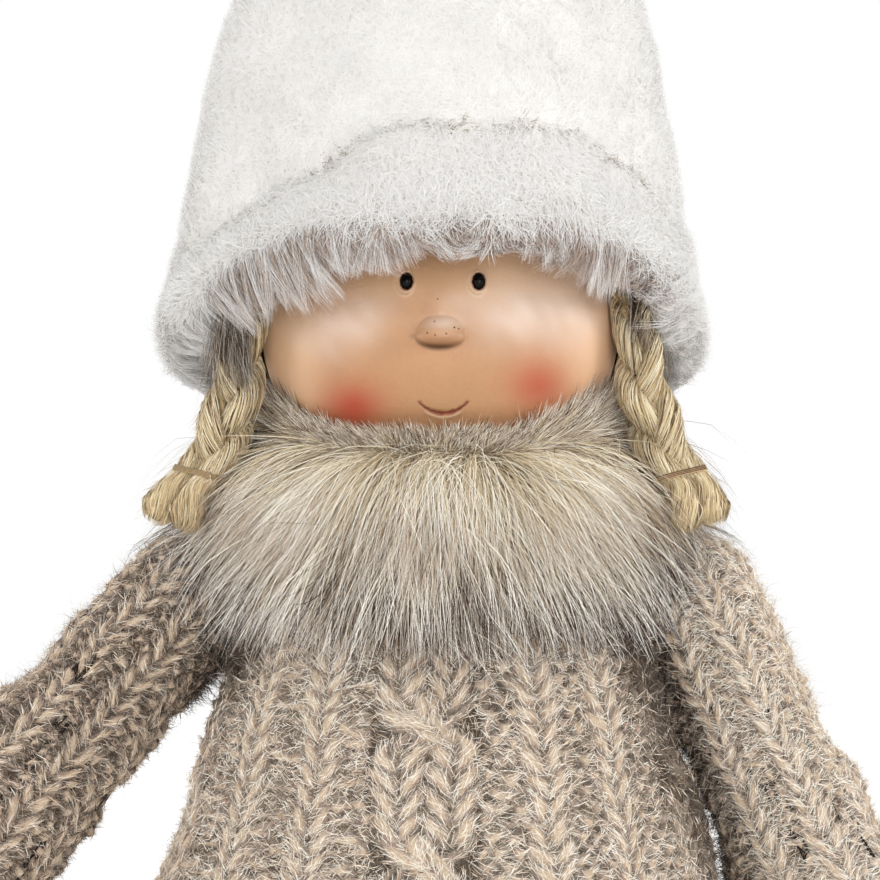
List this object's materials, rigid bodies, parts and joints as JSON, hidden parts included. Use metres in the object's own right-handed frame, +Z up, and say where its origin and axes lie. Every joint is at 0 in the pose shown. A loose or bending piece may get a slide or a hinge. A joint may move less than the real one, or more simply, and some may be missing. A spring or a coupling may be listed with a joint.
{
  "type": "decorative doll",
  "caption": "Standing winter girl doll: hollow head on a turning neck, plush hat, jute plaits, long-pile collar, stuffed knit dress, movable arms and boots.",
  "frame": {"origin": "Middle of the doll's box in X and Y, on the surface that the boots stand on.", "axes": "+Z up, the face towards -Y, the doll's own left towards +X. The doll's own upright axis is at X = 17.8 mm, because its right arm is held further out."},
  "size_m": [0.2762, 0.1242, 0.4125],
  "materials": {
    "knit_dress": "chunky cable knit with mohair fuzz",
    "knit_rib": "rib knit",
    "stuffing": "polyester fibre",
    "felt": "felt",
    "wood": "bare",
    "collar_pile": "long artificial fur",
    "painted_resin": "satin paint",
    "eye_bead": "gloss",
    "white_plush": "short artificial fur",
    "jute": "natural fibre",
    "thread": "waxed",
    "wire": "drawn",
    "boot_leather": "suede",
    "sole": "matt"
  },
  "bodies": {
    "torso": {"dress_body": "knit_dress", "hem_band": "knit_rib", "body_filling": "stuffing", "base_panel": "felt", "base_board": "wood", "neck_post": "wood", "fur_collar": "collar_pile", "boot_sole_left": "sole", "boot_left": "boot_leather", "boot_cuff_left": "white_plush", "legging_left": "felt", "leg_filling_left": "stuffing", "leg_dowel_left": "wood", "boot_sole_right": "sole", "boot_right": "boot_leather", "boot_cuff_right": "white_plush", "legging_right": "felt", "leg_filling_right": "stuffing", "leg_dowel_right": "wood"},
    "head": {"head_shell": "painted_resin", "neck_plug": "wood", "eye_left": "eye_bead", "eye_right": "eye_bead", "hat_crown": "white_plush", "hat_cuff": "white_plush", "hat_filling": "stuffing"},
    "plait_left": {"plait_left_knot": "jute", "plait_left_cord_1": "jute", "plait_left_cord_2": "jute", "plait_left_cord_3": "jute", "plait_left_tie": "thread"},
    "plait_right": {"plait_right_knot": "jute", "plait_right_cord_1": "jute", "plait_right_cord_2": "jute", "plait_right_cord_3": "jute", "plait_right_tie": "thread"},
    "arm_left": {"sleeve_left": "knit_dress", "arm_filling_left": "stuffing", "arm_wire_left": "wire", "sleeve_cuff_left": "knit_rib", "mitten_left": "felt"},
    "arm_right": {"sleeve_right": "knit_dress", "arm_filling_right": "stuffing", "arm_wire_right": "wire", "sleeve_cuff_right": "knit_rib", "mitten_right": "felt"}
  },
  "joints": [
    {"name": "head_turn", "type": "hinge", "parent": "torso", "child": "head", "pos_m": [0.01777, 0, 0.2573], "axis": [0, 0, 1], "range_deg": [-15, 15]},
    {"name": "plait_left_swing", "type": "hinge", "parent": "head", "child": "plait_left", "pos_m": [0.06067, -0.01565, 0.28529], "axis": [0, -1, 0], "range_deg": [0, 20]},
    {"name": "plait_right_swing", "type": "hinge", "parent": "head", "child": "plait_right", "pos_m": [-0.02512, -0.01565, 0.28529], "axis": [0, 1, 0], "range_deg": [0, 20]},
    {"name": "shoulder_left", "type": "hinge", "parent": "torso", "child": "arm_left", "pos_m": [0.07377, 0, 0.222], "axis": [0, -1, 0], "range_deg": [0, 70]},
    {"name": "shoulder_right", "type": "hinge", "parent": "torso", "child": "arm_right", "pos_m": [-0.03823, 0, 0.222], "axis": [0, 1, 0], "range_deg": [-17.5, 52.5]}
  ]
}
